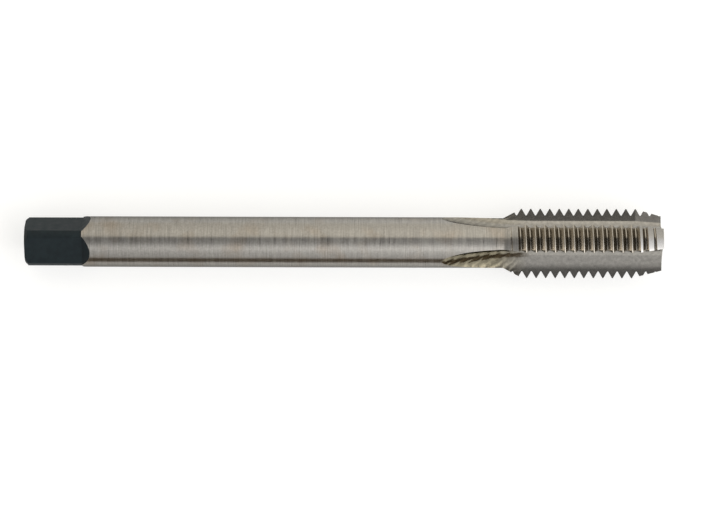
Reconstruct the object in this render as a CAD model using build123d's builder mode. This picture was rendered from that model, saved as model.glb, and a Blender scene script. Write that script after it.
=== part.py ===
from build123d import *

import os
from math import acos, ceil, degrees, radians, sin, sqrt, tan

# A machine tap for an M11 x 1.5 thread, ground from one bar of tool steel.
# It lies along X with its origin at the middle of the driven end, the cutting end
# towards +X, one threaded land straight up and one flute straight down.
# Lengths are in millimetres and angles in degrees.
# Angles about the bar are counted from +Y towards +Z, the way the tap turns to cut.

# Bar and shank
overall_length = 100.0
shank_diameter = 7.96
end_chamfer = 0.5
centre_mouth_diameter = 2.2
centre_angle = 60.0
centre_pilot_diameter = 0.9
centre_pilot_depth = 2.2

# Driving square
square_across_flats = 6.2
square_corner_diameter = 7.65
square_length = 9.0
square_shoulder_angle = 34.0
square_turn = 35.2
flat_count = 4

# Thread
thread_diameter = 11.12
thread_length = 24.9
pitch = 1.5
flank_angle = 60.0
crest_width = 0.12
root_width = 0.15
crest_to_tip = 0.6
back_cone_angle = 28.0
lead_length = 4.45
lead_angle = 14.4
lead_relief_offset = 0.2

# Flutes
flute_count = 3
land_angle = 47.0
core_diameter = 4.2
rake_angle = 5.0
flute_corner_radius = 1.2
flute_floor_radius = 3.6
heel_flank_angle = 50.4
flute_straight_length = 19.7
flute_wheel_diameter = 120.0

# Spiral point, which sets the cutting faces back over the lead
point_length = 4.0
point_setback = 0.1
point_extra_depth = 0.35

# How far cutting tools reach past the metal that they take away, and how many teeth
# the threading rack has to spare at its ends
overrun = 1.5
spare_teeth = 3

shank_radius = shank_diameter / 2
crest_radius = thread_diameter / 2
core_radius = core_diameter / 2
thread_start = overall_length - thread_length
top_land_angle = 90.0
flute_spacing = 360.0 / flute_count
gap_angle = flute_spacing - land_angle

# The thread form, from its crest down to its root
tooth_depth = (pitch - crest_width - root_width) / 2 / tan(radians(flank_angle / 2))
root_radius = crest_radius - tooth_depth


# Threaded rack: the axial section of the thread, one pitch after another, moved along
# the helix by the width of a land and a quarter of a gap. Its foot lies inside the bar,
# and its last tooth stands one pitch past the first full crest behind the tip.
rack_sweep = land_angle + gap_angle / 4
rack_foot = (shank_radius + core_radius) / 2
tooth_count = ceil(thread_length / pitch) + spare_teeth
rack_end = overall_length - crest_to_tip + pitch + pitch / 2
rack_start = rack_end - tooth_count * pitch
flank_run = (pitch - crest_width - root_width) / 2

rack_outline = [(rack_start, rack_foot), (rack_start, root_radius)]
for tooth in range(tooth_count):
    middle = rack_start + (tooth + 0.5) * pitch
    rack_outline.append((middle - crest_width / 2 - flank_run, root_radius))
    rack_outline.append((middle - crest_width / 2, crest_radius))
    rack_outline.append((middle + crest_width / 2, crest_radius))
    rack_outline.append((middle + crest_width / 2 + flank_run, root_radius))
rack_outline += [(rack_end, root_radius), (rack_end, rack_foot)]

with BuildPart() as threaded_rack:
    with BuildLine() as thread_helix:
        Helix(pitch, height=pitch * rack_sweep / 360, radius=crest_radius, direction=(1, 0, 0))
    with BuildSketch(Plane.XZ):
        with BuildLine():
            Polyline(*rack_outline, close=True)
        make_face()
    sweep(path=thread_helix.line, is_frenet=True)


# Blank of the top land: the back cone runs true with the bar. The lead is relieved:
# its cone is ground about an axis a little towards the cutting edge, so that the heel
# clears the work.
envelope_radius = crest_radius + overrun
back_cone_run = (envelope_radius - shank_radius) / tan(radians(back_cone_angle))
lead_radius = crest_radius - lead_length * tan(radians(lead_angle))
lead_run = (envelope_radius - lead_radius) / tan(radians(lead_angle))
lead_axis_point = (0, -lead_relief_offset, 0)

with BuildPart() as land_blank:
    with BuildSketch(Plane.XZ):
        with BuildLine():
            Polyline(
                (thread_start, 0),
                (thread_start, shank_radius),
                (thread_start + back_cone_run, envelope_radius),
                (overall_length, envelope_radius),
                (overall_length, 0),
                close=True,
            )
        make_face()
    revolve(axis=Axis.X)
    with BuildSketch(Plane.XZ.offset(lead_relief_offset)):
        with BuildLine():
            Polyline(
                (thread_start, 0),
                (thread_start, envelope_radius + lead_relief_offset),
                (overall_length - lead_run, envelope_radius + lead_relief_offset),
                (overall_length, lead_radius),
                (overall_length, 0),
                close=True,
            )
        make_face()
    revolve(axis=Axis(lead_axis_point, (1, 0, 0)), mode=Mode.INTERSECT)


# Threaded lands: a rack cut to the blank for each land, each started further along the
# same helix.
with BuildPart() as threaded_lands:
    for land in range(flute_count):
        land_turn = land * flute_spacing
        helix_turn = land_turn - rack_sweep / 2
        rack_place = Location((pitch * helix_turn / 360, 0, 0), (helix_turn, 0, 0))
        blank_place = Location((0, 0, 0), (land_turn, 0, 0))
        add(rack_place * threaded_rack.part & blank_place * land_blank.part)


# Flute: the mark of a round-edged wheel that runs straight in from the tip and then
# lifts out of the bar. Across the bar, its outline is the cutting face, a tight corner,
# a wide hollow floor that touches the core, and a straight flank up to the heel.
face_slope = gap_angle / 2 - rake_angle
outer_reach = 2 * overrun
edge_point = Vector(crest_radius, 0).rotate(Axis.Z, -gap_angle / 2)
heel_point = Vector(crest_radius, 0).rotate(Axis.Z, gap_angle / 2)
face_direction = Vector(1, 0).rotate(Axis.Z, -face_slope)
face_normal = Vector(0, 1).rotate(Axis.Z, -face_slope)
flank_direction = Vector(0, 1).rotate(Axis.Z, -heel_flank_angle)
flank_normal = Vector(1, 0).rotate(Axis.Z, -heel_flank_angle)

floor_level = heel_point.dot(flank_normal) + flute_floor_radius
floor_along = sqrt((core_radius + flute_floor_radius) ** 2 - floor_level**2)
floor_centre = flank_normal * floor_level + flank_direction * floor_along
flank_foot = floor_centre - flank_normal * flute_floor_radius

corner_level = edge_point.dot(face_normal) + flute_corner_radius
centre_gap = flute_floor_radius - flute_corner_radius
centre_along = sqrt(centre_gap**2 - (floor_centre.dot(face_normal) - corner_level) ** 2)
corner_out = floor_centre.dot(face_direction) - centre_along
corner_centre = face_normal * corner_level + face_direction * corner_out
face_foot = corner_centre - face_normal * flute_corner_radius
floor_start = floor_centre + (corner_centre - floor_centre) * (flute_floor_radius / centre_gap)
face_top = edge_point + face_direction * outer_reach
flank_top = heel_point + flank_direction * outer_reach

wheel_radius = flute_wheel_diameter / 2
wheel_lift = shank_radius - core_radius + overrun
wheel_arc = degrees(acos(1 - wheel_lift / wheel_radius))
flute_start = overall_length - flute_straight_length

with BuildSketch(Plane.YZ.offset(flute_start)) as flute_section:
    with BuildLine():
        face = Line(face_top, face_foot)
        corner = TangentArc(face_foot, floor_start, tangent=face % 1)
        TangentArc(floor_start, flank_foot, tangent=corner % 1)
        Polyline(flank_foot, flank_top, face_top)
    make_face()

with BuildPart() as flute:
    extrude(flute_section.sketch, amount=flute_straight_length + overrun)
    wheel_centre = (flute_start, core_radius + wheel_radius, 0)
    revolve(flute_section.sketch, axis=Axis(wheel_centre, (0, 0, 1)), revolution_arc=-wheel_arc)


# Spiral point: a narrow wheel follows the corner of the flute at a small angle, deeper
# and further into the cutting face towards the tip.
point_start = overall_length - point_length
point_run = Vector(point_length, -point_extra_depth, -point_setback)

with BuildSketch(Plane.YZ.offset(point_start)) as point_section:
    with BuildLine():
        Line(face_top, face_foot)
        bottom = JernArc(
            start=face_foot,
            tangent=face % 1,
            radius=flute_corner_radius,
            arc_size=face_slope - 90,
        )
        Polyline(bottom @ 1, (face_top.X, (bottom @ 1).Y), face_top)
    make_face()

with BuildPart() as point_groove:
    extrude(point_section.sketch, amount=point_run.length * (1 + overrun / point_length), dir=point_run)


# Flat of the driving square, cut square across the bar, with the ramp that the cutter
# leaves where it stops
flat_height = square_across_flats / 2
ramp_top = shank_radius + overrun
ramp_end = square_length + (ramp_top - flat_height) / tan(radians(square_shoulder_angle))

with BuildPart() as square_flat:
    with BuildSketch(Plane.XY):
        with BuildLine():
            Polyline(
                (-overrun, flat_height),
                (square_length, flat_height),
                (ramp_end, ramp_top),
                (-overrun, ramp_top),
                close=True,
            )
        make_face()
    extrude(amount=ramp_top, both=True)


# The tap itself: bar, lands, flutes, square and the centre holes that it is ground on
with BuildPart() as thread_tap:
    with BuildSketch(Plane.YZ):
        Circle(square_corner_diameter / 2)
    extrude(amount=square_length)
    with BuildSketch(Plane.YZ.offset(square_length)):
        Circle(shank_radius)
    extrude(amount=overall_length - square_length)
    chamfer(thread_tap.edges().filter_by(GeomType.CIRCLE).sort_by(Axis.X)[0], length=end_chamfer)
    add(threaded_lands.part)

    for index in range(flute_count):
        flute_turn = top_land_angle + (index + 0.5) * flute_spacing
        with Locations(Location((0, 0, 0), (flute_turn, 0, 0))):
            add([flute.part, point_groove.part], mode=Mode.SUBTRACT)

    for index in range(flat_count):
        flat_turn = square_turn + index * 360 / flat_count
        with Locations(Location((0, 0, 0), (flat_turn, 0, 0))):
            add(square_flat.part, mode=Mode.SUBTRACT)

    driven_end = Plane(origin=(0, 0, 0), z_dir=(-1, 0, 0))
    cutting_end = Plane(origin=(overall_length, 0, 0), z_dir=(1, 0, 0))
    with Locations(driven_end, cutting_end):
        CounterSinkHole(
            radius=centre_pilot_diameter / 2,
            counter_sink_radius=centre_mouth_diameter / 2,
            depth=centre_pilot_depth,
            counter_sink_angle=centre_angle,
        )

thread_tap.part.label = "thread_tap"
os.makedirs("parts", exist_ok=True)
export_step(thread_tap.part, "parts/thread_tap.step")
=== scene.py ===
from math import acos, ceil, cos, pi, radians, sin, sqrt, tan

import bmesh
import bpy
from mathutils import Matrix, Vector


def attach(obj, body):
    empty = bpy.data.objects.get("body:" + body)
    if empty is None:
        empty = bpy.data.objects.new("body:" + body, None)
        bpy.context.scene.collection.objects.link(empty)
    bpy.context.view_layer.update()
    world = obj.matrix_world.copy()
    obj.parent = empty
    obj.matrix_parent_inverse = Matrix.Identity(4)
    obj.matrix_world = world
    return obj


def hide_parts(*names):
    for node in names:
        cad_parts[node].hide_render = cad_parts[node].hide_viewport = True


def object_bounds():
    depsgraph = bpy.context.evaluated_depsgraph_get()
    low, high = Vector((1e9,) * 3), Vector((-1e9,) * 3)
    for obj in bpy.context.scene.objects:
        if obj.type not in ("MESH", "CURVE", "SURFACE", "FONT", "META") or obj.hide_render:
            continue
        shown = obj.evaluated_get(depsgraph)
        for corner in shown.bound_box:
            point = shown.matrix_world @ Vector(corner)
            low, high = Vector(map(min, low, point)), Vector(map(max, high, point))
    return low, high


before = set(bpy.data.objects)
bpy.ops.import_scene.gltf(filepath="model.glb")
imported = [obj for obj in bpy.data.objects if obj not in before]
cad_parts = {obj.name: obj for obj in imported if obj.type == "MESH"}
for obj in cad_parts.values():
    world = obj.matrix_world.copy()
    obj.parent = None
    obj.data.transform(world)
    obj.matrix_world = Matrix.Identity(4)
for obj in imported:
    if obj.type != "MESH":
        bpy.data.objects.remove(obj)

cad_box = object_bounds()
scene = bpy.context.scene


# Bar: one rod of high-speed steel, turned, hardened and ground round between centres.
# Square, shank, back cone, thread crests and lead are all the same metal. The tap is
# modelled in millimetres along X, driven end first, and brought to metres at the end.
MM = 0.001
BAR_SIDES = 288
TAP_LENGTH = 100.0
END_CHAMFER = 0.5
CENTRE_MOUTH_RADIUS = 1.1
CENTRE_PILOT_RADIUS = 0.45
CENTRE_ANGLE = radians(60)
CENTRE_DEPTH = 2.2
SQUARE_LENGTH = 9.0
SQUARE_CORNER_RADIUS = 3.825
SHANK_RADIUS = 3.98
THREAD_START = 75.1
BACK_CONE_ANGLE = radians(28)
CREST_RADIUS = 5.553
LEAD_LENGTH = 4.45
LEAD_ANGLE = radians(14.4)
LEAD_RELIEF_OFFSET = 0.2
LAND_COUNT = 3
LAND_ANGLE = radians(47)
TOP_LAND_ANGLE = radians(90)
LAND_SPACING = 2 * pi / LAND_COUNT

STEEL = (0.33, 0.316, 0.293)
STEEL_EDGE_TINT = (0.45, 0.45, 0.45, 1)
SHANK_ROUGHNESS = 0.33
SHANK_ROUGHNESS_SWING = 0.14
SHANK_ANISOTROPY = 0.9
RING_SPACING = 0.2 * MM
RING_DETAIL = 4.0
RING_DEPTH = 0.002 * MM
RING_STRENGTH = 0.3
RING_TONE = 0.5
GRAIN_SIZE = 0.3 * MM
GRAIN_TONE = 0.25
SOFT_DETAIL = 3.0
STEEL_STAIN = (0.31, 0.275, 0.235)
STAIN_SIZE = 4 * MM
STAIN_FAINT = 0.5
STAIN_FULL = 0.75
# Painted light along the shank: the steel colour is darker towards the square and brighter towards
# the thread.
PAINTED_LIGHT_START = 10 * MM
PAINTED_LIGHT_LOW = 0.9
PAINTED_LIGHT_END = 75 * MM
PAINTED_LIGHT_HIGH = 1.14

LEAD_STEEL = (0.36, 0.352, 0.344)
CUT_ROUGHNESS = 0.2
CUT_ANISOTROPY = 0.5
CUT_CLOUD_SIZE = 0.6 * MM
CUT_CLOUD_TONE = 0.12

OXIDE_BLACK = (0.001, 0.006, 0.009)
OXIDE_GREY = (0.005, 0.012, 0.015)
OXIDE_ROUGHNESS = 0.55
OXIDE_ROUGHNESS_SWING = 0.2
OXIDE_SPECULAR = 0.26
BLOTCH_SIZE = 0.9 * MM
BLOTCH_DETAIL = 4.0
BLOTCH_FAINT = 0.35
BLOTCH_FULL = 0.65


def new_material(name, color, roughness, metallic):
    """A material with plain values, and its nodes, links and shader."""
    material = bpy.data.materials.new(name)
    material.use_nodes = True
    tree = material.node_tree
    shader = tree.nodes["Principled BSDF"]
    shader.inputs["Base Color"].default_value = (*color, 1)
    shader.inputs["Roughness"].default_value = roughness
    shader.inputs["Metallic"].default_value = metallic
    if metallic:
        shader.inputs["Specular Tint"].default_value = STEEL_EDGE_TINT
    return material, tree, shader


def add_node(tree, kind, values=(), **settings):
    """A node with its settings, and with its inputs filled or linked by name or place."""
    node = tree.nodes.new(kind)
    for setting, value in settings.items():
        setattr(node, setting, value)
    for socket, value in dict(values).items():
        if isinstance(value, bpy.types.NodeSocket):
            tree.links.new(value, node.inputs[socket])
        else:
            node.inputs[socket].default_value = value
    return node


def math_node(tree, operation, *values):
    """The result of one sum on numbers or sockets."""
    node = add_node(tree, "ShaderNodeMath", enumerate(values), operation=operation)
    return node.outputs[0]


def vector_node(tree, operation, *values):
    """The result of one sum on vectors."""
    node = add_node(tree, "ShaderNodeVectorMath", enumerate(values), operation=operation)
    return node.outputs[0]


def object_place(tree):
    """The place on the tap, in metres."""
    return add_node(tree, "ShaderNodeTexCoord").outputs["Object"]


def place_parts(tree):
    """The place on the tap as three numbers: along it, across the table and up."""
    return add_node(tree, "ShaderNodeSeparateXYZ", {0: object_place(tree)}).outputs


def ground_round(tree, shader, anisotropy):
    """Sets the grain of a surface that was ground while it turned about the axis."""
    along, across, up = place_parts(tree)
    down = math_node(tree, "MULTIPLY", up, -1.0)
    turning = add_node(tree, "ShaderNodeCombineXYZ", {1: down, 2: across}).outputs[0]
    normal = add_node(tree, "ShaderNodeNewGeometry").outputs["Normal"]
    slope = vector_node(tree, "CROSS_PRODUCT", turning, normal)
    tree.links.new(vector_node(tree, "NORMALIZE", slope), shader.inputs["Tangent"])
    shader.inputs["Anisotropic"].default_value = anisotropy


def ring_marks(tree, spacing, detail):
    """Fine rings around the tap, from a noise that is squeezed along it."""
    along, across, up = place_parts(tree)
    turn = math_node(tree, "ARCTAN2", up, across)
    rings_along = math_node(tree, "DIVIDE", along, spacing)
    squeezed = add_node(tree, "ShaderNodeCombineXYZ", {0: rings_along, 1: turn}).outputs[0]
    noise = {"Vector": squeezed, "Scale": 1.0, "Detail": detail}
    return add_node(tree, "ShaderNodeTexNoise", noise).outputs[0]


def spots(tree, size, detail):
    """Soft spots of about the given size in metres, all over the tap."""
    noise = {"Vector": object_place(tree), "Scale": 1 / size, "Detail": detail}
    return add_node(tree, "ShaderNodeTexNoise", noise).outputs[0]


def add_bump(tree, shader, height, depth, strength=1.0):
    """Puts a relief of the given depth in metres on a shader."""
    relief = {"Height": height, "Distance": depth, "Strength": strength}
    bump = add_node(tree, "ShaderNodeBump", relief)
    tree.links.new(bump.outputs[0], shader.inputs["Normal"])


def around(tree, middle, noise, swing):
    """A value that goes up and down about its middle with a noise."""
    return math_node(tree, "MULTIPLY_ADD", noise, 2 * swing, middle - swing)


def ramp(tree, value, start, end, low=0.0, high=1.0, curve="LINEAR"):
    """A number that goes from low to high while the value goes from start to end."""
    node = add_node(
        tree,
        "ShaderNodeMapRange",
        {"Value": value, "From Min": start, "From Max": end, "To Min": low, "To Max": high},
        interpolation_type=curve,
    )
    return node.outputs[0]


def mixed_color(tree, share, first, second):
    """The first colour at a share of 0, the second at 1, and a mix between them."""
    mix = add_node(tree, "ShaderNodeMix", {0: share, 6: first, 7: second}, data_type="RGBA")
    return mix.outputs[2]


def blend(tree, noise, low, high, first, second):
    """The first colour where the noise is below low, and the second where it is above high."""
    return mixed_color(tree, ramp(tree, noise, low, high), (*first, 1), (*second, 1))


def scaled_color(tree, color, factor):
    """The colour made brighter or darker by a factor."""
    scale = {0: color, "Scale": factor}
    return add_node(tree, "ShaderNodeVectorMath", scale, operation="SCALE").outputs[0]


def cut_steel(name, color):
    """The smooth, faintly cloudy steel that a fine wheel leaves."""
    material, tree, shader = new_material(name, color, CUT_ROUGHNESS, 1.0)
    ground_round(tree, shader, CUT_ANISOTROPY)
    tone = around(tree, 1.0, spots(tree, CUT_CLOUD_SIZE, SOFT_DETAIL), CUT_CLOUD_TONE)
    tree.links.new(scaled_color(tree, color, tone), shader.inputs["Base Color"])
    return material


shank_steel, tree, shader = new_material("ground_shank", STEEL, SHANK_ROUGHNESS, 1.0)
ground_round(tree, shader, SHANK_ANISOTROPY)
rings = ring_marks(tree, RING_SPACING, RING_DETAIL)
add_bump(tree, shader, rings, RING_DEPTH, RING_STRENGTH)
roughness = around(tree, SHANK_ROUGHNESS, rings, SHANK_ROUGHNESS_SWING)
tree.links.new(roughness, shader.inputs["Roughness"])
stains = spots(tree, STAIN_SIZE, SOFT_DETAIL)
stained = blend(tree, stains, STAIN_FAINT, STAIN_FULL, STEEL, STEEL_STAIN)
ring_tone = around(tree, 1.0, rings, RING_TONE)
grain_tone = around(tree, 1.0, spots(tree, GRAIN_SIZE, SOFT_DETAIL), GRAIN_TONE)
along, across, up = place_parts(tree)
# Painted light: the shank colour grows brighter along the tap towards the thread, standing in for
# light that is stronger there.
painted_light_ramp = ramp(tree, along, PAINTED_LIGHT_START, PAINTED_LIGHT_END, PAINTED_LIGHT_LOW, PAINTED_LIGHT_HIGH)
tone = math_node(tree, "MULTIPLY", math_node(tree, "MULTIPLY", ring_tone, grain_tone), painted_light_ramp)
tree.links.new(scaled_color(tree, stained, tone), shader.inputs["Base Color"])

lead_steel = cut_steel("ground_lead", LEAD_STEEL)

oxide, tree, shader = new_material("black_oxide", OXIDE_BLACK, OXIDE_ROUGHNESS, 0.0)
shader.inputs["Specular IOR Level"].default_value = OXIDE_SPECULAR
blotches = spots(tree, BLOTCH_SIZE, BLOTCH_DETAIL)
blotched = blend(tree, blotches, BLOTCH_FAINT, BLOTCH_FULL, OXIDE_BLACK, OXIDE_GREY)
tree.links.new(blotched, shader.inputs["Base Color"])
roughness = around(tree, OXIDE_ROUGHNESS, blotches, OXIDE_ROUGHNESS_SWING)
tree.links.new(roughness, shader.inputs["Roughness"])


def closed_solid(name, rings, material):
    """A closed mesh through rings of points, with a flat cap on its first and last ring."""
    count = len(rings[0])
    points = [point for ring in rings for point in ring]
    faces = [tuple(reversed(range(count)))]
    for start in range(0, len(points) - count, count):
        for side in range(count):
            after = (side + 1) % count
            faces.append((start + side, start + after, start + count + after, start + count + side))
    faces.append(tuple(range(len(points) - count, len(points))))
    mesh = bpy.data.meshes.new(name)
    mesh.from_pydata(points, [], faces)
    shape = bmesh.new()
    shape.from_mesh(mesh)
    bmesh.ops.recalc_face_normals(shape, faces=shape.faces)
    shape.to_mesh(mesh)
    shape.free()
    mesh.materials.append(material)
    solid = bpy.data.objects.new(name, mesh)
    scene.collection.objects.link(solid)
    return solid


def around_axis(along, radius, angle):
    """A point at a radius from the axis, with its angle counted from +Y towards +Z."""
    return (along, radius * cos(angle), radius * sin(angle))


def lead_turn(angle):
    """The angle from the middle of the nearest land, towards its cutting edge."""
    return (angle - TOP_LAND_ANGLE + LAND_SPACING / 2) % LAND_SPACING - LAND_SPACING / 2


def lead_start(angle):
    """Where the relieved lead begins on the crests."""
    turn = lead_turn(angle)
    side = CREST_RADIUS - LEAD_RELIEF_OFFSET * sin(turn)
    cone_radius = sqrt(side**2 + (LEAD_RELIEF_OFFSET * cos(turn)) ** 2)
    return TAP_LENGTH - LEAD_LENGTH - (cone_radius - CREST_RADIUS) / tan(LEAD_ANGLE)


def lead_end_radius(angle):
    """The radius of the relieved lead at the tip."""
    turn = lead_turn(angle)
    cone_radius = CREST_RADIUS - LEAD_LENGTH * tan(LEAD_ANGLE)
    rest = sqrt(cone_radius**2 - (LEAD_RELIEF_OFFSET * cos(turn)) ** 2)
    return rest + LEAD_RELIEF_OFFSET * sin(turn)


back_cone_end = THREAD_START + (CREST_RADIUS - SHANK_RADIUS) / tan(BACK_CONE_ANGLE)
countersink_depth = (CENTRE_MOUTH_RADIUS - CENTRE_PILOT_RADIUS) / tan(CENTRE_ANGLE / 2)
bar_angles = [2 * pi * (side + 0.5) / BAR_SIDES for side in range(BAR_SIDES)]


def plain_ring(along, radius):
    """A round ring of the bar."""
    return [around_axis(along, radius, angle) for angle in bar_angles]


bar_rings = [
    plain_ring(CENTRE_DEPTH, CENTRE_PILOT_RADIUS),
    plain_ring(countersink_depth, CENTRE_PILOT_RADIUS),
    plain_ring(0, CENTRE_MOUTH_RADIUS),
    plain_ring(0, SQUARE_CORNER_RADIUS - END_CHAMFER),
    plain_ring(END_CHAMFER, SQUARE_CORNER_RADIUS),
    plain_ring(SQUARE_LENGTH, SQUARE_CORNER_RADIUS),
    plain_ring(SQUARE_LENGTH, SHANK_RADIUS),
    plain_ring(THREAD_START, SHANK_RADIUS),
    plain_ring(back_cone_end, CREST_RADIUS),
    [around_axis(lead_start(angle), CREST_RADIUS, angle) for angle in bar_angles],
    [around_axis(TAP_LENGTH, lead_end_radius(angle), angle) for angle in bar_angles],
    plain_ring(TAP_LENGTH, CENTRE_MOUTH_RADIUS),
    plain_ring(TAP_LENGTH - countersink_depth, CENTRE_PILOT_RADIUS),
    plain_ring(TAP_LENGTH - CENTRE_DEPTH, CENTRE_PILOT_RADIUS),
]
tap = closed_solid("machine_tap", bar_rings, shank_steel)
tap.data.materials.append(oxide)
tap.data.materials.append(lead_steel)
oxide_slot = tap.data.materials.find(oxide.name)
lead_slot = tap.data.materials.find(lead_steel.name)
for face in tap.data.polygons:
    if face.center.x < SQUARE_LENGTH:
        face.material_index = oxide_slot
    elif face.center.x > TAP_LENGTH - LEAD_LENGTH:
        face.material_index = lead_slot


# Thread: M11 x 1.5, right-hand, ground into the lands by a dressed wheel that follows
# the helix. Here one groove runs round and round from behind the back cone to past the
# tip, with the crests left a little round.
PITCH = 1.5
FLANK_ANGLE = radians(60)
CREST_WIDTH = 0.12
ROOT_WIDTH = 0.15
CREST_ROUNDING = 0.13
CREST_ROUND_STEPS = 8
CREST_TO_TIP = 0.6
GROOVE_STEPS = 96
GROOVE_CLEARANCE = 0.05
SPARE_TURNS = 2
TURNS_PAST_CREST = 1.5
THREAD_STEEL = (0.36, 0.33, 0.285)

half_flank = FLANK_ANGLE / 2
tooth_depth = (PITCH - CREST_WIDTH - ROOT_WIDTH) / 2 / tan(half_flank)
root_radius = CREST_RADIUS - tooth_depth
shoulder = ROOT_WIDTH / 2 + tooth_depth * tan(half_flank)
round_centre = shoulder + CREST_ROUNDING * tan(half_flank)

groove_side = [(ROOT_WIDTH / 2, root_radius)]
for step in range(CREST_ROUND_STEPS + 1):
    angle = pi - half_flank - step / CREST_ROUND_STEPS * (pi / 2 - half_flank)
    groove_side.append(
        (
            round_centre + CREST_ROUNDING * cos(angle),
            CREST_RADIUS - CREST_ROUNDING + CREST_ROUNDING * sin(angle),
        )
    )
groove_side.append((round_centre, CREST_RADIUS + GROOVE_CLEARANCE))
groove_outline = groove_side + [(-along, out) for along, out in reversed(groove_side)]

thread_steel = cut_steel("ground_thread", THREAD_STEEL)


def geometry_tree(name, inputs):
    """An empty geometry tree with named sizes, its input node and its output node."""
    tree = bpy.data.node_groups.new(name, "GeometryNodeTree")
    tree.interface.new_socket("Geometry", in_out="INPUT", socket_type="NodeSocketGeometry")
    for label, kind in inputs:
        tree.interface.new_socket(label, in_out="INPUT", socket_type=kind)
    tree.interface.new_socket("Geometry", in_out="OUTPUT", socket_type="NodeSocketGeometry")
    return tree, tree.nodes.new("NodeGroupInput").outputs, tree.nodes.new("NodeGroupOutput")


def swept_outline(tree, outline, first, last, count):
    """The outline swept along Z from first to last, in equal steps."""
    path = add_node(
        tree,
        "GeometryNodeCurvePrimitiveLine",
        {
            "Start": add_node(tree, "ShaderNodeCombineXYZ", {2: first}).outputs[0],
            "End": add_node(tree, "ShaderNodeCombineXYZ", {2: last}).outputs[0],
        },
    )
    steps = add_node(tree, "GeometryNodeResampleCurve", {"Curve": path.outputs[0], "Count": count})
    section = add_node(tree, "GeometryNodeMeshToCurve", {"Mesh": outline})
    sweep = add_node(
        tree,
        "GeometryNodeCurveToMesh",
        {"Curve": steps.outputs[0], "Profile Curve": section.outputs[0], "Fill Caps": True},
    )
    place = add_node(tree, "GeometryNodeInputPosition").outputs[0]
    return sweep.outputs[0], add_node(tree, "ShaderNodeSeparateXYZ", {0: place}).outputs


def placed(tree, shape, along, across, up):
    """The shape with its points moved to the place that the three rules give."""
    target = add_node(tree, "ShaderNodeCombineXYZ", {0: along, 1: across, 2: up})
    moved = add_node(
        tree, "GeometryNodeSetPosition", {"Geometry": shape, "Position": target.outputs[0]}
    )
    return moved.outputs[0]


def finish_tree(tree, shape, material, output):
    """Ends a tree with real geometry in one material."""
    real = add_node(tree, "GeometryNodeRealizeInstances", {"Geometry": shape}).outputs[0]
    painted = add_node(tree, "GeometryNodeSetMaterial", {"Geometry": real, "Material": material})
    tree.links.new(painted.outputs[0], output.inputs[0])


def outline_object(name, outline):
    """A closed line of edges in the XY plane, for a geometry tree to sweep."""
    mesh = bpy.data.meshes.new(name)
    count = len(outline)
    mesh.from_pydata(
        [(x, y, 0) for x, y in outline], [(i, (i + 1) % count) for i in range(count)], []
    )
    piece = bpy.data.objects.new(name, mesh)
    scene.collection.objects.link(piece)
    return piece


def grown(piece, tree, sizes):
    """The piece as its geometry tree makes it with these sizes, as a plain mesh."""
    modifier = piece.modifiers.new(tree.name, "NODES")
    modifier.node_group = tree
    for item in tree.interface.items_tree:
        if item.in_out == "INPUT" and item.name in sizes:
            modifier[item.identifier] = sizes[item.name]
    return plain_mesh(piece)


def plain_mesh(piece):
    """Turns what the modifiers make into the piece's own mesh, and removes them."""
    shape = piece.evaluated_get(bpy.context.evaluated_depsgraph_get())
    mesh = bpy.data.meshes.new_from_object(shape)
    piece.modifiers.clear()
    piece.data = mesh
    return piece


tree, sizes, output = geometry_tree(
    "thread_groove",
    [
        ("Pitch", "NodeSocketFloat"),
        ("Start Along", "NodeSocketFloat"),
        ("Turned Angle", "NodeSocketFloat"),
        ("Start Angle", "NodeSocketFloat"),
        ("Steps", "NodeSocketInt"),
    ],
)
shape, (offset, out, turned) = swept_outline(
    tree, sizes["Geometry"], 0.0, sizes["Turned Angle"], sizes["Steps"]
)
angle = math_node(tree, "ADD", turned, sizes["Start Angle"])
advance = math_node(tree, "MULTIPLY", turned, math_node(tree, "DIVIDE", sizes["Pitch"], 2 * pi))
along = math_node(tree, "ADD", math_node(tree, "ADD", sizes["Start Along"], advance), offset)
across = math_node(tree, "MULTIPLY", out, math_node(tree, "COSINE", angle))
up = math_node(tree, "MULTIPLY", out, math_node(tree, "SINE", angle))
finish_tree(tree, placed(tree, shape, along, across, up), thread_steel, output)

groove_turns = ceil((TAP_LENGTH - THREAD_START) / PITCH) + SPARE_TURNS
groove = grown(
    outline_object("thread_groove", groove_outline),
    tree,
    {
        "Pitch": PITCH,
        "Start Along": TAP_LENGTH - CREST_TO_TIP + PITCH * (TURNS_PAST_CREST - groove_turns),
        "Turned Angle": groove_turns * 2 * pi,
        "Start Angle": TOP_LAND_ANGLE,
        "Steps": groove_turns * GROOVE_STEPS + 1,
    },
)


# Flutes: three hollows ground lengthwise by a round-edged wheel, straight in from the
# tip until the wheel lifts out of the shank, where it left slanting feed marks and a brown
# heat tint. The run-out colour is made darker on the near side, as painted shade.
CORE_RADIUS = 2.1
RAKE_ANGLE = radians(5)
CORNER_RADIUS = 1.2
FLOOR_RADIUS = 3.6
HEEL_FLANK_ANGLE = radians(50.4)
FLUTE_STRAIGHT_LENGTH = 19.7
FLUTE_WHEEL_RADIUS = 60.0
FLUTE_OVERRUN = 1.5
FLUTE_REACH = 3.0
FLUTE_STEPS = 90
ARC_STEPS = 16

FLUTE_ROUGHNESS = 0.16
FLUTE_ANISOTROPY = 0.2
FLUTE_CLOUD_SIZE = 0.5 * MM
FLUTE_CLOUD_DETAIL = 4.0
FLUTE_CLOUD_TONE = 0.35
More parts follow.
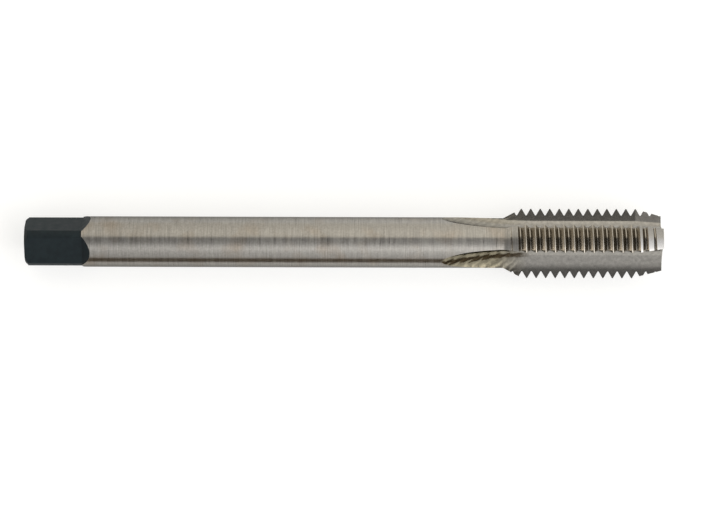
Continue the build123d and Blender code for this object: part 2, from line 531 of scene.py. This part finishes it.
# Run-out colour: partly a brown heat tint, partly painted shade that is strongest on the near side.
BURN_AND_SHADE_STEEL = (0.24, 0.215, 0.155)
BURN_AND_SHADE_FULL = 74 * MM
BURN_AND_SHADE_END = 79 * MM
SHADED_NEAR_SIDE = -1 * MM
LIT_FAR_SIDE = 1 * MM
LIT_FAR_SIDE_SHARE = 0.4
FEED_SPACING = 1.46 * MM
FEED_SLANT = 1.5
FEED_DEPTH = 0.01 * MM
FEED_TONE = 0.22
WANDER_SIZE = 1.5 * MM
WANDER_DETAIL = 2.0
WANDER = 1.2 * MM

face_slope = LAND_SPACING / 2 - LAND_ANGLE / 2 - RAKE_ANGLE
gap_half = (LAND_SPACING - LAND_ANGLE) / 2


def heading(angle):
    """A unit direction across the bar, from straight out towards the heel."""
    return Vector((cos(angle), sin(angle)))


def arc_points(centre, start, end, steps):
    """Points on the short arc from start to end about a centre."""
    first, last = start - centre, end - centre
    sweep = first.angle_signed(last)
    turns = [Matrix.Rotation(-sweep * step / steps, 2) for step in range(steps + 1)]
    return [centre + turn @ first for turn in turns]


edge_point = heading(-gap_half) * CREST_RADIUS
heel_point = heading(gap_half) * CREST_RADIUS
face_out, face_normal = heading(-face_slope), heading(pi / 2 - face_slope)
flank_out, flank_normal = heading(pi / 2 - HEEL_FLANK_ANGLE), heading(-HEEL_FLANK_ANGLE)
floor_level = heel_point.dot(flank_normal) + FLOOR_RADIUS
floor_along = sqrt((CORE_RADIUS + FLOOR_RADIUS) ** 2 - floor_level**2)
floor_centre = flank_normal * floor_level + flank_out * floor_along
flank_foot = floor_centre - flank_normal * FLOOR_RADIUS
corner_level = edge_point.dot(face_normal) + CORNER_RADIUS
centre_gap = FLOOR_RADIUS - CORNER_RADIUS
centre_along = sqrt(centre_gap**2 - (floor_centre.dot(face_normal) - corner_level) ** 2)
corner_centre = (
    face_normal * corner_level + face_out * (floor_centre.dot(face_out) - centre_along)
)
face_foot = corner_centre - face_normal * CORNER_RADIUS
floor_start = floor_centre + (corner_centre - floor_centre) * (FLOOR_RADIUS / centre_gap)
face_top = edge_point + face_out * FLUTE_REACH
flank_top = heel_point + flank_out * FLUTE_REACH

flute_outline = [flank_top]
flute_outline += arc_points(floor_centre, flank_foot, floor_start, ARC_STEPS)
flute_outline += arc_points(corner_centre, floor_start, face_foot, ARC_STEPS)[1:]
flute_outline += [face_top]

flute_steel, tree, shader = new_material("ground_flute", STEEL, FLUTE_ROUGHNESS, 1.0)
normal = add_node(tree, "ShaderNodeNewGeometry").outputs["Normal"]
tree.links.new(vector_node(tree, "CROSS_PRODUCT", normal, (1, 0, 0)), shader.inputs["Tangent"])
shader.inputs["Anisotropic"].default_value = FLUTE_ANISOTROPY
along, across, up = place_parts(tree)
burn_and_shade = ramp(tree, along, BURN_AND_SHADE_FULL, BURN_AND_SHADE_END, 1.0, 0.0)
# Painted shade: the dark brown run-out colour is full on the near side and weaker on the far side,
# where the light falls.
near_side_shade = ramp(tree, across, SHADED_NEAR_SIDE, LIT_FAR_SIDE, 1.0, LIT_FAR_SIDE_SHARE)
burn_and_shade = math_node(tree, "MULTIPLY", burn_and_shade, near_side_shade)
burn_and_shade_color = blend(tree, burn_and_shade, 0.0, 1.0, STEEL, BURN_AND_SHADE_STEEL)
slant = math_node(tree, "MULTIPLY_ADD", across, -FEED_SLANT, along)
wander = around(tree, 0.0, spots(tree, WANDER_SIZE, WANDER_DETAIL), WANDER)
slant = math_node(tree, "ADD", slant, wander)
wave = math_node(tree, "SINE", math_node(tree, "MULTIPLY", slant, 2 * pi / FEED_SPACING))
marks = math_node(tree, "MULTIPLY", wave, burn_and_shade)
add_bump(tree, shader, marks, FEED_DEPTH)
clouds = spots(tree, FLUTE_CLOUD_SIZE, FLUTE_CLOUD_DETAIL)
cloud_tone = around(tree, 1.0, clouds, FLUTE_CLOUD_TONE)
mark_tone = math_node(tree, "MULTIPLY_ADD", marks, FEED_TONE, 1.0)
tone = math_node(tree, "MULTIPLY", cloud_tone, mark_tone)
tree.links.new(scaled_color(tree, burn_and_shade_color, tone), shader.inputs["Base Color"])

tree, sizes, output = geometry_tree(
    "flutes",
    [
        ("Straight From", "NodeSocketFloat"),
        ("Wheel Radius", "NodeSocketFloat"),
        ("Wheel Height", "NodeSocketFloat"),
        ("Run Start", "NodeSocketFloat"),
        ("Run End", "NodeSocketFloat"),
        ("Steps", "NodeSocketInt"),
        ("Flutes", "NodeSocketInt"),
        ("First Angle", "NodeSocketFloat"),
        ("Spacing", "NodeSocketFloat"),
    ],
)
shape, (out, side, run) = swept_outline(
    tree, sizes["Geometry"], sizes["Run Start"], sizes["Run End"], sizes["Steps"]
)
back = math_node(tree, "MAXIMUM", math_node(tree, "SUBTRACT", sizes["Straight From"], run), 0.0)
swing = math_node(tree, "DIVIDE", back, sizes["Wheel Radius"])
drop = math_node(tree, "SUBTRACT", sizes["Wheel Height"], out)
front = math_node(tree, "MAXIMUM", run, sizes["Straight From"])
along = math_node(
    tree, "SUBTRACT", front, math_node(tree, "MULTIPLY", drop, math_node(tree, "SINE", swing))
)
height = math_node(
    tree,
    "SUBTRACT",
    sizes["Wheel Height"],
    math_node(tree, "MULTIPLY", drop, math_node(tree, "COSINE", swing)),
)
one_flute = placed(tree, shape, along, height, side)
number = add_node(tree, "GeometryNodeInputIndex").outputs[0]
turn = math_node(
    tree, "ADD", sizes["First Angle"], math_node(tree, "MULTIPLY", number, sizes["Spacing"])
)
copies = add_node(
    tree,
    "GeometryNodeInstanceOnPoints",
    {
        "Points": add_node(tree, "GeometryNodePoints", {"Count": sizes["Flutes"]}).outputs[0],
        "Instance": one_flute,
        "Rotation": add_node(tree, "ShaderNodeCombineXYZ", {0: turn}).outputs[0],
    },
)
finish_tree(tree, copies.outputs[0], flute_steel, output)

wheel_arc = acos(1 - (SHANK_RADIUS - CORE_RADIUS + FLUTE_OVERRUN) / FLUTE_WHEEL_RADIUS)
flute_start = TAP_LENGTH - FLUTE_STRAIGHT_LENGTH
first_flute_angle = TOP_LAND_ANGLE + LAND_SPACING / 2
flutes = grown(
    outline_object("flutes", flute_outline),
    tree,
    {
        "Straight From": flute_start,
        "Wheel Radius": FLUTE_WHEEL_RADIUS,
        "Wheel Height": CORE_RADIUS + FLUTE_WHEEL_RADIUS,
        "Run Start": flute_start - FLUTE_WHEEL_RADIUS * wheel_arc,
        "Run End": TAP_LENGTH + FLUTE_OVERRUN,
        "Steps": FLUTE_STEPS,
        "Flutes": LAND_COUNT,
        "First Angle": first_flute_angle,
        "Spacing": LAND_SPACING,
    },
)


# Spiral point: over the first teeth a narrow wheel has ground each cutting face back at
# a small angle, and a little deeper than the flute.
POINT_LENGTH = 4.0
POINT_SETBACK = 0.1
POINT_EXTRA_DEPTH = 0.35

corner_bottom = corner_centre - Vector((CORNER_RADIUS, 0))
point_outline = [face_top]
point_outline += arc_points(corner_centre, face_foot, corner_bottom, ARC_STEPS)
point_outline += [Vector((face_top.x, corner_bottom.y))]
point_slope = Vector((-POINT_EXTRA_DEPTH, -POINT_SETBACK)) / POINT_LENGTH
point_grooves = []
for index in range(LAND_COUNT):
    turn = Matrix.Rotation(first_flute_angle + index * LAND_SPACING, 2)
    rings = []
    for run in (0, POINT_LENGTH + FLUTE_OVERRUN):
        across = [turn @ (point + point_slope * run) for point in point_outline]
        rings.append([(TAP_LENGTH - POINT_LENGTH + run, point.x, point.y) for point in across])
    point_grooves.append(closed_solid(f"point_groove_{index}", rings, flute_steel))


# Driving square: four flats milled across the end, each with the ramp that the cutter
# left where it stopped, and blackened by a hot oxide bath that stops at their edge.
ACROSS_FLATS = 6.2
FLAT_COUNT = 4
SHOULDER_ANGLE = radians(34)
SQUARE_TURN = radians(35.2)
SQUARE_REACH = 7.0

square_rings = []
flat_height = ACROSS_FLATS / 2
ramp_end = SQUARE_LENGTH + (SQUARE_REACH - flat_height) / tan(SHOULDER_ANGLE)
corners = [SQUARE_TURN + (flat + 0.5) * 2 * pi / FLAT_COUNT for flat in range(FLAT_COUNT)]
for along, height in (
    (-FLUTE_OVERRUN, flat_height),
    (SQUARE_LENGTH, flat_height),
    (ramp_end, SQUARE_REACH),
    (TAP_LENGTH + FLUTE_OVERRUN, SQUARE_REACH),
):
    corner_reach = height / cos(pi / FLAT_COUNT)
    square_rings.append([around_axis(along, corner_reach, corner) for corner in corners])
square = closed_solid("square_envelope", square_rings, oxide)


# The tap is what is left of the bar when the groove, the flutes, the points and the
# flats are cut. Edges stay crisp, and turned and ground faces are shaded smooth.
CRISP_EDGE = radians(13)

for cutter, operation in [
    (groove, "DIFFERENCE"),
    (flutes, "DIFFERENCE"),
    *((point, "DIFFERENCE") for point in point_grooves),
    (square, "INTERSECT"),
]:
    cut = tap.modifiers.new(cutter.name, "BOOLEAN")
    cut.object = cutter
    cut.operation = operation
    cut.solver = "MANIFOLD"
    cut.material_mode = "TRANSFER"
plain_mesh(tap)
for cutter in (groove, flutes, *point_grooves, square):
    bpy.data.objects.remove(cutter)

tap.data.transform(Matrix.Scale(MM, 4))
tap.data.shade_smooth()
tap.data.set_sharp_from_angle(angle=CRISP_EDGE)
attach(tap, "root")
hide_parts("thread_tap")


# Table: a sheet of white board that the tap lies on, and a low strip of brown card that
# stands in front of it. Only the steel shows the card, as the dark line along its front.
BOARD_SIZE = 1.2
BOARD_WHITE = (0.4, 0.4, 0.39)
BOARD_GLOW = 0.65
BOARD_IN_STEEL = 0.58
CARD_BROWN = (0.24, 0.19, 0.14)
CARD_START = -10.0
CARD_END = 80.0
CARD_FROM_TAP = 17.0
CARD_HEIGHT = 7.65
PAPER_ROUGHNESS = 0.9

table_level = cad_box[0].z

board, tree, shader = new_material("white_board", BOARD_WHITE, PAPER_ROUGHNESS, 0.0)
ray = add_node(tree, "ShaderNodeLightPath").outputs
seen_sharp = math_node(tree, "MAXIMUM", ray["Is Camera Ray"], ray["Is Transmission Ray"])
in_steel = math_node(tree, "MULTIPLY", ray["Is Glossy Ray"], BOARD_IN_STEEL / BOARD_GLOW)
seen = math_node(tree, "MAXIMUM", seen_sharp, in_steel)
shader.inputs["Emission Color"].default_value = (1, 1, 1, 1)
tree.links.new(math_node(tree, "MULTIPLY", seen, BOARD_GLOW), shader.inputs["Emission Strength"])

table_middle = (TAP_LENGTH / 2 * MM, 0, table_level)
bpy.ops.mesh.primitive_plane_add(size=BOARD_SIZE, location=table_middle)
table = bpy.context.object
table.name = "table"
table.data.materials.append(board)

card_brown, tree, shader = new_material("card_brown", CARD_BROWN, PAPER_ROUGHNESS, 0.0)
card_middle = (CARD_START + CARD_END) / 2 * MM
bpy.ops.mesh.primitive_plane_add(size=MM, rotation=(pi / 2, 0, 0))
card = bpy.context.object
card.name = "dark_card"
card.scale = (CARD_END - CARD_START, CARD_HEIGHT, 1)
card.location = (card_middle, -CARD_FROM_TAP * MM, table_level + CARD_HEIGHT / 2 * MM)
card.data.materials.append(card_brown)
card.visible_camera = False
card.visible_diffuse = False
card.visible_shadow = False


# Camera: almost straight over the tap, half a metre away.
CAMERA_ELEVATION = radians(82.9)
CAMERA_DISTANCE = 0.4993
CAMERA_LENS = 162.7
CAMERA_ROLL = radians(0.172)
AIM_ALONG = 51.16
AIM_BELOW = 2.79

toward_camera = Vector((0, -cos(CAMERA_ELEVATION), sin(CAMERA_ELEVATION)))
image_up = Vector((0, sin(CAMERA_ELEVATION), cos(CAMERA_ELEVATION)))
camera_data = bpy.data.cameras.new("camera")
camera_data.lens = CAMERA_LENS
camera = bpy.data.objects.new("camera", camera_data)
scene.collection.objects.link(camera)
aim = (Vector((AIM_ALONG, 0, 0)) - image_up * AIM_BELOW) * MM
facing = Matrix((Vector((1, 0, 0)), image_up, toward_camera)).transposed().to_4x4()
stand = Matrix.Translation(aim + toward_camera * CAMERA_DISTANCE)
camera.matrix_world = stand @ facing @ Matrix.Rotation(CAMERA_ROLL, 4, "Z")
scene.camera = camera


# Light: a white tent over the table, dark above the shank, where the camera looks in.
# Each wall has a level and a tint for each angle around the tap, from behind it over the
# top to the front, and passes softly into the next: far left, left, right, far right.
WARM = (1.0, 0.96, 0.87)
PLAIN = (1.0, 0.995, 0.985)
FAR_LEFT_WALL = [
    (-180, 0.85, WARM),
    (-24, 0.9, WARM),
    (-21, 0.42, PLAIN),
    (40, 0.5, PLAIN),
    (83, 0.7, PLAIN),
    (180, 0.85, PLAIN),
]
LEFT_WALL = [
    (-180, 0.95, WARM),
    (-80, 1.05, WARM),
    (-47, 1.26, WARM),
    (-24, 1.15, WARM),
    (-21, 0.1, PLAIN),
    (4, 0.13, PLAIN),
    (12, 0.34, PLAIN),
    (22, 0.54, PLAIN),
    (36, 0.76, PLAIN),
    (50, 0.8, PLAIN),
    (83, 0.82, PLAIN),
    (180, 0.9, PLAIN),
]
RIGHT_WALL = [
    (-180, 0.95, WARM),
    (-60, 0.9, WARM),
    (-46, 0.95, WARM),
    (-30, 1.05, WARM),
    (-15, 1.3, PLAIN),
    (0, 1.55, PLAIN),
    (14, 1.95, PLAIN),
    (27, 3.2, PLAIN),
    (36, 3.4, PLAIN),
    (48, 2.0, PLAIN),
    (62, 1.3, PLAIN),
    (180, 1.0, PLAIN),
]
LEFT_TO_RIGHT = (7.0, 26.0)
LEFT_TO_FAR_LEFT = (-26.0, -44.0)
RIGHT_TO_FAR_RIGHT = (36.0, 46.0)
END_TO_FAR_LEFT = (-76.0, -60.0)
FAR_RIGHT_LEVEL = 1.8
LEFT_END_LEVEL = 0.25
BRIGHTEST = 4.0
HALF_TURN = 180

world = bpy.data.worlds.new("light_tent")
scene.world = world
world.use_nodes = True
tree = world.node_tree
direction = add_node(tree, "ShaderNodeTexCoord").outputs["Generated"]


def part_along(axis):
    """How far the direction points along an axis."""
    dot = add_node(tree, "ShaderNodeVectorMath", {0: direction, 1: axis}, operation="DOT_PRODUCT")
    return dot.outputs["Value"]


def in_degrees(angle):
    """The angle in degrees."""
    return math_node(tree, "MULTIPLY", angle, HALF_TURN / pi)


def passing(start, end):
    """0 before the first of two angles along the tap, 1 past the second, soft between."""
    return ramp(tree, along_degrees, start, end, curve="SMOOTHSTEP")


def tent_wall(levels):
    """The light around the tap, from the level and the tint at each angle."""
    color_ramp = add_node(tree, "ShaderNodeValToRGB", {0: round_share})
    stops = color_ramp.color_ramp.elements
    while len(stops) < len(levels):
        stops.new(0.5)
    for stop, (at, level, tint) in zip(stops, levels):
        stop.position = (at + HALF_TURN) / (2 * HALF_TURN)
    for stop, (at, level, tint) in zip(stops, levels):
        stop.color = (*(level / BRIGHTEST * part for part in tint), 1)
    return color_ramp.outputs["Color"]


round_turn = math_node(tree, "ARCTAN2", part_along(-image_up), part_along(toward_camera))
round_turned = math_node(tree, "ADD", in_degrees(round_turn), HALF_TURN)
round_share = math_node(tree, "DIVIDE", round_turned, 2 * HALF_TURN)
along_degrees = in_degrees(math_node(tree, "ARCSINE", part_along((1, 0, 0))))

walls = tent_wall(LEFT_WALL)
walls = mixed_color(tree, passing(*LEFT_TO_RIGHT), walls, tent_wall(RIGHT_WALL))
walls = mixed_color(tree, passing(*LEFT_TO_FAR_LEFT), walls, tent_wall(FAR_LEFT_WALL))
far_right = passing(*RIGHT_TO_FAR_RIGHT)
level = math_node(
    tree, "MULTIPLY_ADD", far_right, (FAR_RIGHT_LEVEL - 1) * BRIGHTEST, BRIGHTEST
)
past_end = passing(*END_TO_FAR_LEFT)
end_level = math_node(tree, "MULTIPLY_ADD", past_end, 1 - LEFT_END_LEVEL, LEFT_END_LEVEL)
light = scaled_color(tree, walls, math_node(tree, "MULTIPLY", level, end_level))
tree.links.new(light, tree.nodes["Background"].inputs["Color"])

scene.view_settings.view_transform = "Standard"
